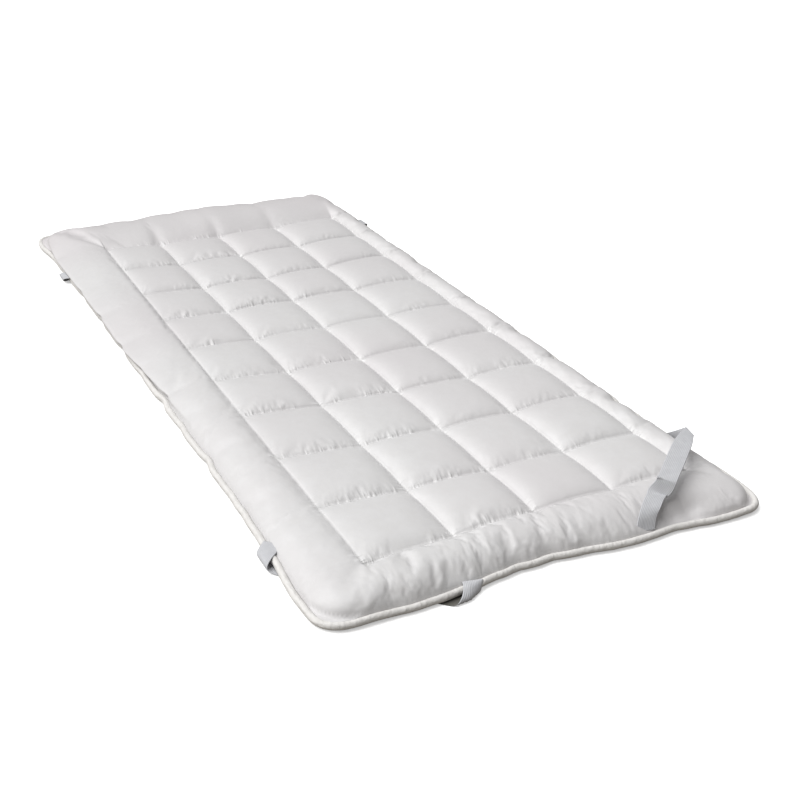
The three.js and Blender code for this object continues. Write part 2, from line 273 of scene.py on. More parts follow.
def ridges(rng, low, high, spacing):
    """A row of creases along a line: bumps at uneven distances, with uneven heights and widths, less
    their mean. Returns the line's places and the value at each."""
    places = np.arange(low, high, RIDGE_STEP)
    gaps = spacing * rng.uniform(*RIDGE_GAP, int((high - low) / spacing) + 2)
    centres = low + np.cumsum(gaps)
    heights = rng.uniform(*RIDGE_HEIGHT, len(centres)) ** 1.5
    widths = spacing * rng.uniform(*RIDGE_WIDTH, len(centres))
    bumps = heights * np.exp(-(np.abs(places[:, None] - centres) / widths) ** 1.7)
    values = bumps.sum(axis=1)
    return places, values - values.mean()


def hump(t):
    """A parabola, 1 at the middle and 0 at both ends."""
    return 4 * t * (1 - t)


def top_height(u, v, rng):
    """Cells: the seam's height, which rises a little between crossings, plus a crown times the cell's
    loft, each cell filled a little differently. Border: from the seam or the edge up to the roll's
    crest. The left seam lies higher, by a lift that fades into the cells and beyond both ends."""
    field_u = np.clip(u, 0, COLUMNS - TINY)
    field_v = np.clip(v, 0, ROWS - TINY)
    filling = rng.uniform(*CELL_FILLING, (COLUMNS, ROWS))[field_u.astype(int), field_v.astype(int)]
    lift = LEFT_LIFT * np.clip(np.minimum(v, ROWS - v) + 1, 0, 1)
    rise = SEAM_RISE["across"] * hump(field_u % 1) + SEAM_RISE["along"] * hump(field_v % 1)
    rise = rise + lift * np.clip(1 - np.abs(u) / LEFT_LIFT_REACH, 0, 1) ** 2
    lofted = cell_loft(u, v)
    cell = SEAM_TOP + rise * (1 - lofted) + CELL_CROWN * filling * lofted
    s = roll(u, v)
    places = {"left": v / ROWS, "right": v / ROWS, "near": u / COLUMNS, "far": u / COLUMNS}
    crowns = {
        edge: np.interp(places[edge], (0, 0.5, 1), crown) * MM for edge, crown in ROLL_CROWN.items()
    }
    unevenness = CROWN_UNEVENNESS * lattice_noise(u, v, CROWN_UNEVENNESS_SIZE, rng)
    crown = by_border(u, v, **crowns) * (1 + unevenness)
    crest = by_border(u, v, **ROLL_CREST)
    seam = SEAM_TOP + lift * (u < 0) + np.where(
        (u < 0) | (u > COLUMNS),
        SEAM_RISE["along"] * hump(field_v % 1),
        SEAM_RISE["across"] * hump(field_u % 1),
    )
    foot = np.where(s < crest, seam, EDGE_TOP)
    border = foot + (SEAM_TOP + crown - foot) * roll_profile(s, crest, by_border(u, v, **ROLL_FULLNESS))
    return np.where(s > 0, border, cell)


UNDER_STRAPS = [(-286, -856), (-282, 822), (282, 840)]  # their middles, in mm
STRAP_LIFT = 3.2 * MM  # of the body where a strap passes under it
STRAP_REACH = 250 * MM  # of that lift, which is whole over the inner half


def bottom_height(u, v, x, y):
    """The same seams seen from below: the panel falls from them by the belly times the loft, and lies
    flat where it meets the ground, or a little above it round each strap that passes under it."""
    cell = SEAM_BOTTOM - BELLY * cell_loft(u, v)
    s = roll(u, v)
    border = SEAM_BOTTOM + (EDGE_BOTTOM - SEAM_BOTTOM) * s - BELLY * loft(s, CELL_FULLNESS["along"])
    ground = np.zeros_like(x)
    for centre_x, centre_y in UNDER_STRAPS:
        away = np.hypot(x - centre_x * MM, y - centre_y * MM)
        ground = np.maximum(ground, STRAP_LIFT * np.clip(2 * (1 - away / STRAP_REACH), 0, 1))
    return np.maximum(np.where(s > 0, border, cell), ground)


def unit(vectors):
    """Each vector divided by its own length."""
    return vectors / np.linalg.norm(vectors, axis=-1, keepdims=True)


def surface_normals(points):
    """Unit normals of a grid of points, from the cross product of its two central differences."""
    return unit(np.cross(np.gradient(points, axis=1), np.gradient(points, axis=0)))


def grid_quads(rows, columns, first=0):
    """Vertex numbers of the faces of a grid, counterclockwise from above."""
    a = first + np.arange(rows - 1)[:, None] * columns + np.arange(columns - 1)
    return np.stack([a, a + 1, a + columns + 1, a + columns], axis=-1).reshape(-1, 4)


def rim(rows, columns):
    """Vertex numbers of a grid's rim, counterclockwise from above."""
    number = np.arange(rows * columns).reshape(rows, columns)
    return np.concatenate([number[0, :-1], number[:-1, -1], number[-1, :0:-1], number[:0:-1, 0]])


def mesh_piece(name, points, faces):
    """A smooth-shaded mesh object at the origin, made of the given points and faces."""
    mesh = bpy.data.meshes.new(name)
    mesh.from_pydata(points.reshape(-1, 3).tolist(), [], faces)
    mesh.polygons.foreach_set("use_smooth", np.ones(len(mesh.polygons), dtype=bool))
    piece = bpy.data.objects.new(name, mesh)
    bpy.context.scene.collection.objects.link(piece)
    return piece


def mark_points(piece, name, values):
    """A value at each of a piece's points, for its material to read."""
    mark = piece.data.attributes.new(name, "FLOAT", "POINT")
    mark.data.foreach_set("value", values)


# How much fuller the cloth is than the thread, as a share of the most, in each column, in the borders,
# and along the near border by places on x in mm.
COLUMN_GATHER = np.array([0.8, 1, 0.7, 0.5])
SIDE_GATHER = {"left": 0.06, "right": 0.1, "far": 0.0}
NEAR_GATHER = [(-419, 0.1), (-300, 0.28), (40, 0.28), (140, 0.12), (240, 0.08), (419, 0.04)]
GATHER_EXCESS = 0.1  # how much longer the cloth is than the thread where it is fullest

NEAR_CREASE = 3 * MM  # height of the longest creases of the near roll
NEAR_CREASE_SPACING = 32 * MM
NEAR_CREASE_SPAN = 500 * MM  # to either side of the middle
NEAR_CREASE_SLANT = 24 * MM  # how far a crease runs to the left on its way to the edge
PINCH_CREASE = 0.4  # depth of the crease above a pinch, as a share of the pinch's
FAR_FURROWS = np.array([0, 3.6, 2.6, 2]) * MM  # from each long seam a furrow runs on over the far roll
FURROW_WIDTH = 0.1  # of a column
FURROW_FADE = 0.6  # of its depth is lost on the way to the edge
OVERHANG = 29 * MM  # how far the left roll is drawn out over its piping
OVERHANG_SAG = 6 * MM  # how far it sags there
OVERHANG_CREST = 2.6  # the power of the place across that brings its crest near the edge
OVERHANG_START = 3  # in cells from the near end
OVERHANG_GROWTH = 2.5  # cells further on it is whole
CORNER_REACH = 14 * MM  # how far the far left corner is drawn out to a point

# Beside the foot of the standing strap the cloth is pulled in.
DENT_PLACE = (250 * MM, -966 * MM)
DENT_RADII = (52 * MM, 22 * MM)
DENT_PULL = (8 * MM, -13 * MM)  # along y and z


def near_gather(x):
    """The near border's fullness at x, between its given places."""
    at, amount = np.array(NEAR_GATHER).T
    return np.interp(x, at * MM, amount)


def long_creases(u, v, x, rng):
    """Folds of the near roll, which run from the seam towards the edge: ridges along x, moved with the
    place across the roll, under a sine that is 0 at both seams, strongest where it is gathered most."""
    s = roll(u, v)
    places, values = ridges(rng, -NEAR_CREASE_SPAN, NEAR_CREASE_SPAN, NEAR_CREASE_SPACING)
    weight = near_gather(x) / max(amount for _, amount in NEAR_GATHER)
    crease = np.interp(x + NEAR_CREASE_SLANT * s, places, values)
    return NEAR_CREASE * crease * weight * np.sin(np.pi * s ** 0.8) * (v < 0)


def edge_creases(u, v, x, y):
    """Each pinch of the edge runs up over the roll as a crease, by its depth times the squared place
    across. The far roll's furrows are bells of the distance from each long seam, and fade outwards."""
    share = side_share(u, v)
    line = np.clip(np.round(u), 1, COLUMNS - 1).astype(int)
    furrow = FAR_FURROWS[line] * np.exp(-(((u - line) / FURROW_WIDTH) ** 2))
    furrow = furrow * (1 - FURROW_FADE * roll(u, v)) * (v > ROWS)
    side = np.where(u < 0, pinched("left", y), pinched("right", y))
    end = np.where(v < 0, pinched("near", x), pinched("far", x))
    return -PINCH_CREASE * (side * share + end * (1 - share)) * roll(u, v) ** 2 - furrow


def outer_half(u, v):
    """Place 0 to 1 from the middle of a roll to the edge."""
    return np.clip(2 * roll(u, v) - 1, 0, 1)


def corner_reach(u, v):
    """How far out the far left corner is drawn: by the squared place across the roll's outer half, times
    a squared sine of the way round the corner."""
    way_round = np.sin(np.pi * side_share(u, v)) ** 2
    return CORNER_REACH * outer_half(u, v) ** 2 * way_round * ((u < 0) & (v > ROWS))


def hang_over(points, u, v):
    """Draws the outer part of the left roll out and down over its piping: by a squared sine of a power
    of the place across its outer half, which peaks close to the edge, growing along the roll."""
    bulge = np.sin(np.pi * outer_half(u, v) ** OVERHANG_CREST) ** 2 * (u < 0) * side_share(u, v)
    bulge = bulge * np.clip((v - OVERHANG_START) / OVERHANG_GROWTH, 0, 1)
    points[..., 0] -= OVERHANG * bulge
    points[..., 2] -= OVERHANG_SAG * bulge


def dent(points):
    """Pulls the cloth in beside the foot of the standing strap: a bell of the distance in plan."""
    away = (points[..., :2] - DENT_PLACE) / DENT_RADII
    points[..., 1:] += np.exp(-(away ** 2).sum(axis=-1, keepdims=True)) * DENT_PULL


# How far from a cross seam the cloth lies fuller, and how full: on its far side and on its near side.
GATHER_REACH = {"far": 17 * MM, "near": 10 * MM}
GATHER_SHARE = {"far": 1, "near": 0.35}
GATHER_SPREAD = (0.35, 1)  # the least and the most gathered seam of a cell
CELL_END_GATHER = 0.45  # of the fullness at the middle of a cell is left at its ends
PUCKER_REACH = 9 * MM  # of the fine puckers, from the seam
CROSSING_REACH = 30 * MM  # how far from a crossing the cloth puckers along the long seams
CLUSTER_SIZE = 32 * MM
GATHER_CLUSTERS = (0.45, 1.2)  # mean and spread of the fullness along a seam
PUCKER_CLUSTERS = (0.6, 1.3)  # the same of the fine puckers


def gathering(u, v, x, y, rng):
    """How much fuller than the thread the cloth lies, 0 to 1: a bell of the distance from the nearest
    cross seam, stronger on its far side, in the second column and in the middle of a cell, in clusters;
    along the borders it is mostly at the left and middle of the near end. With it go the shares of fine
    puckers along the cross seams, a narrower bell, and along the long seams, near each crossing."""
    field_u = np.clip(u, 0, COLUMNS - TINY)
    column = field_u.astype(int)
    row = np.clip(np.round(v), 0, ROWS).astype(int)
    beyond = y - plan(u, row)[1]
    reach = np.where(beyond > 0, GATHER_REACH["far"], GATHER_REACH["near"])
    strength = np.where(beyond > 0, GATHER_SHARE["far"], GATHER_SHARE["near"])
    strength = strength * rng.uniform(*GATHER_SPREAD, (COLUMNS, ROWS + 1))[column, row]
    clusters = lattice_noise(x, row * 7 * CLUSTER_SIZE, CLUSTER_SIZE, rng)  # 7 rows apart: each its own
    mean, spread = GATHER_CLUSTERS
    strength = strength * COLUMN_GATHER[column] * np.clip(mean + spread * clusters, 0, 1)
    swell = np.sin(np.pi * np.clip((field_u % 1) * 1.15 - 0.12, 0, 1)) ** 0.7
    middle = CELL_END_GATHER + (1 - CELL_END_GATHER) * swell
    cells = strength * middle * np.exp(-((beyond / reach) ** 2))
    cross, along = border_shares(u, v)
    border = by_border(u, v, near=near_gather(x), **SIDE_GATHER) * (1 - np.minimum(cross, along))
    mean, spread = PUCKER_CLUSTERS
    fine = np.clip(mean + spread * clusters, 0, 1) * COLUMN_GATHER[column] * (cross == 0)
    fine = fine * np.exp(-((np.abs(beyond) / PUCKER_REACH) ** 1.5))
    beside = np.abs(x - plan(np.clip(np.round(u), 0, COLUMNS), v)[0])
    crossing = np.exp(-((beside / PUCKER_REACH) ** 1.5) - (beyond / CROSSING_REACH) ** 2)
    return np.where(np.maximum(cross, along) > 0, border, cells), fine, crossing * (along == 0)


SWELL_LIMIT = 14 * MM
FLAT_SIDE = 0.8  # of that limit is kept from the left roll
SWELL_FRAMES = 20
TAUT_LEVELS = 20
CLOTH = {
    "quality": 4, "mass": 0.2, "tension_stiffness": 30, "compression_stiffness": 30,
    "shear_stiffness": 10, "bending_stiffness": 1.0, "tension_damping": 5, "compression_damping": 5,
    "shear_damping": 5, "bending_damping": 0.5, "air_damping": 2, "use_pressure": True,
    "uniform_pressure_force": 4, "vertex_group_mass": "held", "vertex_group_shrink": "taut",
    "shrink_max": 0.0, "shrink_min": -GATHER_EXCESS,
}


def swollen(points, held, fullness, limit):
    """The panel as its filling blows it up: Blender's Cloth, held at its seams and edge, with springs
    longer than the mesh where it is gathered. A movement m is kept down to limit * tanh(m / limit)."""
    rows, columns = held.shape
    panel = mesh_piece("panel", points, grid_quads(rows, columns).tolist())
    panel.vertex_groups.new(name="held").add(np.flatnonzero(held).tolist(), 1.0, "REPLACE")
    taut = panel.vertex_groups.new(name="taut")
    level = np.round(TAUT_LEVELS * (1 - fullness)).ravel()
    for step in range(1, TAUT_LEVELS + 1):
        taut.add(np.flatnonzero(level == step).tolist(), step / TAUT_LEVELS, "REPLACE")
    cloth = panel.modifiers.new("cloth", "CLOTH")
    for setting, value in CLOTH.items():
        setattr(cloth.settings, setting, value)
    cloth.settings.effector_weights.gravity = 0
    cloth.collision_settings.use_collision = False
    cloth.point_cache.frame_start = 1
    cloth.point_cache.frame_end = SWELL_FRAMES
    for number in range(1, SWELL_FRAMES + 1):
        bpy.context.scene.frame_set(number)
    blown = panel.evaluated_get(bpy.context.evaluated_depsgraph_get()).data
    places = np.empty(points.size, dtype=np.float32)
    blown.vertices.foreach_get("co", places)
    bpy.data.objects.remove(panel)
    bpy.context.scene.frame_set(1)
    move = places.reshape(points.shape) - points
    size = np.maximum(np.linalg.norm(move, axis=-1, keepdims=True), TINY)
    return points + move / size * limit * np.tanh(size / limit)


SAME_PLACE = 1e-6  # of a cell
UNEVENNESS = 0.3 * MM  # of the start, which the gathers grow from
EVEN_BELOW = 0.05  # the fullness below which the cloth starts smoother


def in_the_field(place, cells):
    """Whether a place lies in the quilted field, with its first and last seam."""
    return (place > -SAME_PLACE) & (place < cells + SAME_PLACE)


def on_a_seam(place, cells):
    """Whether a place lies on one of the field's seams."""
    return (np.abs(place - np.round(place)) < SAME_PLACE) & in_the_field(place, cells)


def top_panel():
    """Grid of the top panel's points: the lofted shape, swollen by its filling. With it go the places of
    its lines and the shares of fine puckers."""
    rng = np.random.default_rng(20)
    u = stations(COLUMNS, COLUMN_STEPS, BORDER_STEPS["left"], BORDER_STEPS["right"], CROWDING["across"])
    v = stations(ROWS, ROW_STEPS, BORDER_STEPS["near"], BORDER_STEPS["far"], CROWDING["along"])
    u, v = np.meshgrid(u, v)
    x, y = plan(u, v)
    points = np.stack([x, y, top_height(u, v, rng)], axis=-1)
    cross, along = border_shares(u, v)
    held = (on_a_seam(u, COLUMNS) & (along == 0)) | (on_a_seam(v, ROWS) & (cross == 0))
    held |= np.maximum(cross, along) > 1 - SAME_PLACE
    rough = rng.uniform(-1, 1, u.shape) * UNEVENNESS
    fullness, *puckers = gathering(u, v, x, y, rng)
    rough = rough * np.clip(fullness / EVEN_BELOW, 0, 1)
    rough = rough + long_creases(u, v, x, rng) + edge_creases(u, v, x, y)
    points += surface_normals(points) * (rough * ~held)[..., None]
    hang_over(points, u, v)
    points[..., 0] -= corner_reach(u, v)
    limit = SWELL_LIMIT * (1 - FLAT_SIDE * side_share(u, v) * (u < 0))
    points = swollen(points, held, fullness, limit[..., None])
    dent(points)
    return points, u, v, puckers


def filled_body():
    """The top panel's grid, the bottom panel on every third line of it, and a strip of triangles that
    closes the edge between them. Returns the piece and both panels' grids."""
    top, u, v, puckers = top_panel()
    rows, columns = u.shape
    low_u, low_v = u[::BOTTOM_STRIDE, ::BOTTOM_STRIDE], v[::BOTTOM_STRIDE, ::BOTTOM_STRIDE]
    x, y = plan(low_u, low_v)
    bottom = np.stack([x - corner_reach(low_u, low_v), y, bottom_height(low_u, low_v, x, y)], axis=-1)
    low_rows, low_columns = low_u.shape
    top_rim = rim(rows, columns)
    low_rim = rim(low_rows, low_columns) + rows * columns
    low_next = np.roll(low_rim, -1)
    first, second, third = (top_rim[start::BOTTOM_STRIDE] for start in range(BOTTOM_STRIDE))
    last = np.roll(first, -1)
    strip = np.concatenate([
        np.stack([first, low_rim, second], axis=-1),
        np.stack([second, low_rim, low_next], axis=-1),
        np.stack([second, low_next, third], axis=-1),
        np.stack([third, low_next, last], axis=-1),
    ])
    faces = grid_quads(rows, columns).tolist()
    faces += grid_quads(low_rows, low_columns, rows * columns)[:, ::-1].tolist()
    faces += strip.tolist()
    points = np.concatenate([top.reshape(-1, 3), bottom.reshape(-1, 3)])
    piece = mesh_piece("quilted_body", points, faces)
    for name, share in zip(("cross_puckers", "long_puckers"), puckers):
        mark_points(piece, name, np.concatenate([share.ravel(), np.zeros(low_u.size)]))
    return piece, (top, u, v), (bottom, low_u, low_v)


body, top_grid, bottom_grid = filled_body()


def set_inputs(tree, node, inputs):
    """Gives a node's inputs their values, or links them where another node's output is given."""
    for key, value in inputs.items():
        if isinstance(value, bpy.types.NodeSocket):
            tree.links.new(value, node.inputs[key])
        else:
            node.inputs[key].default_value = value


def new_material(name, inputs):
    """A material with one Principled shader, and its node tree and shader."""
    material = bpy.data.materials.new(name)
    material.use_nodes = True
    shader = material.node_tree.nodes["Principled BSDF"]
    set_inputs(material.node_tree, shader, inputs)
    return material, material.node_tree, shader


def add_node(tree, kind, inputs=None, **settings):
    """A shader node with its settings and inputs."""
    node = tree.nodes.new("ShaderNode" + kind)
    for key, value in settings.items():
        setattr(node, key, value)
    set_inputs(tree, node, inputs or {})
    return node


def math_node(tree, operation, first, second=0.0):
    """The result of an operation on one or two values."""
    return add_node(tree, "Math", {0: first, 1: second}, operation=operation).outputs[0]


def mixed(tree, factor, low, high):
    """A colour between two: the low one at factor 0, the high one at 1."""
    inputs = {"Factor": factor, "A": low, "B": high}
    return add_node(tree, "Mix", inputs, data_type="RGBA").outputs["Result"]


def noise(tree, vector, scale, detail):
    """Fractal noise, 0 to 1, with so many waves a metre."""
    inputs = {"Vector": vector, "Scale": scale, "Detail": detail}
    return add_node(tree, "TexNoise", inputs).outputs["Fac"]


def contrast(tree, value, low, high):
    """Spreads a value's range from low to high out to 0 to 1."""
    inputs = {"Value": value, "From Min": low, "From Max": high}
    return add_node(tree, "MapRange", inputs).outputs["Result"]


def from_to(tree, value, start, end):
    """A value from 0 to 1, spread out from start to end."""
    return add_node(tree, "MapRange", {"Value": value, "To Min": start, "To Max": end}).outputs["Result"]


SLUB_SCALE = 0.2  # waves of the threads' unevenness to a thread


def cloth_weave_group():
    """Plain weave: thread tops and hollows are sin(pi n x) * sin(pi n y) for n threads a metre, uneven
    by noise. Mottling is slower noise. It puts out a colour between two tones, set by the mottling and
    by painted shade (lighter thread tops, darker hollows), the mottling, and a height in metres."""
    group = bpy.data.node_groups.new("cloth_weave", "ShaderNodeTree")
    sockets = [
        ("Vector", "INPUT", "Vector"), ("Threads", "INPUT", "Float"), ("Thread Depth", "INPUT", "Float"),
        ("Mottle Scale", "INPUT", "Float"), ("Mottle Depth", "INPUT", "Float"),
        ("Light Tone", "INPUT", "Color"), ("Dark Tone", "INPUT", "Color"),
        ("Color", "OUTPUT", "Color"), ("Mottle", "OUTPUT", "Float"), ("Height", "OUTPUT", "Float"),
    ]
    for name, way, kind in sockets:
        group.interface.new_socket(name, in_out=way, socket_type="NodeSocket" + kind)
    given = group.nodes.new("NodeGroupInput").outputs
    turns = math_node(group, "MULTIPLY", given["Threads"], np.pi)
    scaling = {"Vector": given["Vector"], "Scale": turns}
    scaled = add_node(group, "VectorMath", scaling, operation="SCALE").outputs["Vector"]
    axes = add_node(group, "SeparateXYZ", {"Vector": scaled}).outputs
    waves = [math_node(group, "SINE", axes[axis]) for axis in ("X", "Y")]
    weave = math_node(group, "MULTIPLY", *waves)
    slub = noise(group, given["Vector"], math_node(group, "MULTIPLY", given["Threads"], SLUB_SCALE), 2.0)
    weave = math_node(group, "MULTIPLY", weave, slub)
    mottle = contrast(group, noise(group, given["Vector"], given["Mottle Scale"], 3.0), 0.3, 0.7)
    threads = math_node(group, "MULTIPLY", weave, given["Thread Depth"])
    swell = math_node(group, "MULTIPLY", mottle, given["Mottle Depth"])
    # Painted shade: the weave's high points turn to the light tone and its hollows to the dark tone, on
    # top of the mottling.
    shade = math_node(group, "ADD", mottle, math_node(group, "MULTIPLY", weave, 0.5))
    set_inputs(group, group.nodes.new("NodeGroupOutput"), {
        "Color": mixed(group, shade, given["Dark Tone"], given["Light Tone"]),
        "Mottle": mottle,
        "Height": math_node(group, "ADD", threads, swell),
    })
    return group


cloth_weave = cloth_weave_group()


def woven(tree, inputs):
    """The weave group in a material, on Object coordinates unless another vector is given. Returns its
    outputs and those coordinates."""
    place = add_node(tree, "TexCoord").outputs["Object"]
    node = add_node(tree, "Group", node_tree=cloth_weave)
    set_inputs(tree, node, {"Vector": place} | inputs)
    return node.outputs, place


def finish_shader(tree, shader, color, roughness, height):
    """Links a shader's varying inputs, with bump from a height in metres."""
    bump = add_node(tree, "Bump", {"Height": height, "Distance": 1.0, "Strength": 1.0})
    varying = {"Base Color": color, "Roughness": roughness, "Normal": bump.outputs["Normal"]}
    set_inputs(tree, shader, varying)


def pucker_strokes(tree, place, attribute, stretch):
    """Long narrow noise, only where the mesh's attribute puts it."""
    vector = add_node(tree, "Mapping", {"Vector": place, "Scale": stretch}).outputs["Vector"]
    share = add_node(tree, "Attribute", attribute_name=attribute).outputs["Fac"]
    return math_node(tree, "MULTIPLY", contrast(tree, noise(tree, vector, 125, 1.0), 0.48, 0.72), share)


BLUSH_AND_FAR_SHADE_TONE = (0.625, 0.598, 0.605, 1)  # pinkish, of large soft patches; at the far end it is also painted shade
FAR_SHADE_FROM_TO = (0.55, 1.1)  # places on y between which the far end turns to it, darker as painted shade
# Painted highlight on the pucker strokes, which also raise the cloth by bump.
PUCKER_HIGHLIGHT_TONE = (0.82, 0.815, 0.81, 1)
PUCKER_HEIGHT = 2.2 * MM
satin, tree, shader = new_material("white_satin", {
    "Sheen Weight": 0.3,
    "Sheen Roughness": 0.35,
    "Specular IOR Level": 0.5,
})
weave, place = woven(tree, {
    "Threads": 2200, "Thread Depth": 0.05 * MM, "Mottle Scale": 38, "Mottle Depth": 0.35 * MM,
    "Light Tone": (0.675, 0.668, 0.668, 1), "Dark Tone": (0.64, 0.631, 0.628, 1),
})
# The far end is painted darker and pinker: painted shade where the light falls off, with a pink tint.
# The large patches are the cloth's own uneven tone.
far_end_shade = contrast(tree, add_node(tree, "SeparateXYZ", {"Vector": place}).outputs["Y"], *FAR_SHADE_FROM_TO)
blush_and_far_shade = math_node(tree, "ADD", contrast(tree, noise(tree, place, 2.5, 1.0), 0.35, 0.95), far_end_shade)
# The strokes raise the cloth by bump and are painted lighter in the colour below, a painted highlight.
strokes = math_node(
    tree, "ADD",
    pucker_strokes(tree, place, "cross_puckers", (1.0, 0.16, 0.16)),
    pucker_strokes(tree, place, "long_puckers", (0.16, 1.0, 0.16)),
)
tinted_and_shaded = mixed(tree, blush_and_far_shade, weave["Color"], BLUSH_AND_FAR_SHADE_TONE)
puckers = math_node(tree, "MULTIPLY", strokes, PUCKER_HEIGHT)
finish_shader(
    tree, shader,
    mixed(tree, strokes, tinted_and_shaded, PUCKER_HIGHLIGHT_TONE),
    from_to(tree, weave["Mottle"], 0.5, 0.38),
    math_node(tree, "ADD", weave["Height"], puckers),
)
body.data.materials.append(satin)
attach(body, "root")
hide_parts("pad")


# ---- Quilting stitches -----------------------------------------------------------------------------
# White polyester thread in a lock stitch of 4 mm, through both panels, along every seam. Each stitch is
# a small spindle that lies in the seam's groove.

STITCH_PITCH = 4 * MM
STITCH_SIZE = np.array([3.3, 0.9, 0.7]) * MM  # along the seam, across it, and through the cloth
STITCH_RISE = 0.6  # of its middle out of the cloth, as a share of half its height


def seam_lines(grid):
    """The lines of a panel's grid that lie on its seams, with their normals."""
    points, u, v = grid
    lines = np.concatenate([points, surface_normals(points)], axis=-1)
    for row in np.flatnonzero(on_a_seam(v[:, 0], ROWS)):
        yield lines[row, in_the_field(u[0], COLUMNS)]
    for column in np.flatnonzero(on_a_seam(u[0], COLUMNS)):
        yield lines[in_the_field(v[:, 0], ROWS), column]


def distances(path):
    """How far along a path each of its points lies: the running sum of the steps between them."""
    return np.concatenate([[0], np.cumsum(np.linalg.norm(np.diff(path, axis=0), axis=1))])


def resampled(points, pitch, closed=False):
    """The same path with its points at even distances along it, near the pitch. What a row holds beyond
    its point is carried along."""
    if closed:
        points = np.concatenate([points, points[:1]])
    run = distances(points[:, :3])
    count = int(run[-1] / pitch)
    at = np.linspace(0, run[-1], count, endpoint=not closed)
    return np.stack([np.interp(at, run, points[:, k]) for k in range(points.shape[1])], axis=-1)


def spindles(line, up):
    """An octahedron at the middle of each step along the line: two points along it, two across it, and
    two along the normal, out of the cloth and into it. Out is along the line's normal times up."""
    centre = (line[1:, :3] + line[:-1, :3]) / 2
    along = unit(np.diff(line[:, :3], axis=0))
    across = unit(np.cross((line[1:, 3:] + line[:-1, 3:]) * up, along))
    normal = np.cross(along, across)
    length, width, height = STITCH_SIZE / 2
    ends, edges, rise = along * length, across * width, normal * height
    tips = np.stack([ends, edges, -ends, -edges, rise, -rise], axis=1)
    return (centre + rise * STITCH_RISE)[:, None] + tips


ROUND = [(0, 1), (1, 2), (2, 3), (3, 0)]  # the edges between a spindle's first four points
SPINDLE_FACES = np.array([(a, b, 4) for a, b in ROUND] + [(b, a, 5) for a, b in ROUND])
stitches = np.concatenate([
    spindles(resampled(line, STITCH_PITCH), up)
    for grid, up in ((top_grid, 1), (bottom_grid, -1)) for line in seam_lines(grid)
])
stitch_faces = np.arange(len(stitches))[:, None, None] * 6 + SPINDLE_FACES
stitching = mesh_piece("quilting_stitches", stitches, stitch_faces.reshape(-1, 3).tolist())
thread, tree, shader = new_material("white_thread", {"Sheen Weight": 0.2, "Specular IOR Level": 0.5})
weave, _ = woven(tree, {
    "Threads": 3000, "Thread Depth": 0.06 * MM, "Mottle Scale": 150, "Mottle Depth": 0.0,
    "Light Tone": (0.74, 0.735, 0.73, 1), "Dark Tone": (0.66, 0.655, 0.65, 1),
})
finish_shader(tree, shader, weave["Color"], from_to(tree, weave["Mottle"], 0.55, 0.4), weave["Height"])
stitching.data.materials.append(thread)
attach(stitching, "root")


# ---- Piping ----------------------------------------------------------------------------------------
# A cotton cord in a bias-cut cover of matt white cloth, sewn into the edge seam all the way round. The
# cover is a little loose, so it lies in small folds across the cord.

PIPING_STEP = 5 * MM
PIPING_SIDES = 16
PIPING_HEIGHT = 8.8 * MM
PIPING_SUNK = 0.6 * MM  # into the body's edge
PIPING_WANDER = 1.5 * MM  # how far the cord strays from its smooth line
PIPING_WANDER_LENGTH = 48 * MM
PIPING_FOLD = 0.08  # height of the highest folds, as a share of the radius
PIPING_FOLD_SPACING = 16 * MM
PIPING_FOLD_SLANT = 4 * MM
EDGE_SMOOTHING = 4  # rounds of smoothing between the body's edge and the cord's line


def piping_path():
    """The body's edge, smoothed and moved out by the cord's radius, and the directions out of it."""
    points, u, _ = top_grid
    edge = resampled(points.reshape(-1, 3)[rim(*u.shape)], PIPING_STEP, closed=True)[:, :2]
    for _ in range(EDGE_SMOOTHING):
        edge = (np.roll(edge, 1, axis=0) + 2 * edge + np.roll(edge, -1, axis=0)) / 4
    tangent = unit(np.roll(edge, -1, axis=0) - np.roll(edge, 1, axis=0))
    out = np.stack([tangent[:, 1], -tangent[:, 0]], axis=-1)
    return edge + out * (PIPING_RADIUS - PIPING_SUNK), out


def tube_quads(rings, sides):
    """Vertex numbers of the faces of a tube that closes on itself: from each point of each ring to the
    next ring, on to the next point, and back."""
    here = np.arange(rings)[:, None] * sides + np.arange(sides)
    following = np.roll(here, -1, axis=0)
    corners = [here, following, np.roll(following, -1, axis=1), np.roll(here, -1, axis=1)]
    return np.stack(corners, axis=-1).reshape(-1, 4)


def piping_tube():
    """A ring of points round each point of the path: centre + radius * (cos a * outwards + sin a * up).
    The cover's folds make the radius uneven along the path."""
    rng = np.random.default_rng(7)
    path, out = piping_path()
    run = np.arange(len(path)) * PIPING_STEP
    places, values = ridges(rng, 0, run[-1], PIPING_FOLD_SPACING)
    angle = 2 * np.pi * np.arange(PIPING_SIDES) / PIPING_SIDES
    fold = np.interp(run[:, None] + PIPING_FOLD_SLANT * np.sin(angle), places, values)
    radius = PIPING_RADIUS * (1 + PIPING_FOLD * fold)
    wander = PIPING_WANDER * np.minimum(1, np.minimum(run, run[-1] - run) / PIPING_WANDER_LENGTH)
    sideways, upwards = (
        wander * lattice_noise(run, 0 * run, PIPING_WANDER_LENGTH, rng) for _ in range(2)
    )
    centre = np.column_stack([path + out * sideways[:, None], PIPING_HEIGHT + upwards])
    outwards = np.column_stack([out, np.zeros(len(path))])
    points = centre[:, None] + radius[..., None] * (
        np.cos(angle)[None, :, None] * outwards[:, None] + np.sin(angle)[None, :, None] * [0, 0, 1]
    )
    return mesh_piece("corded_piping", points, tube_quads(len(path), PIPING_SIDES).tolist())


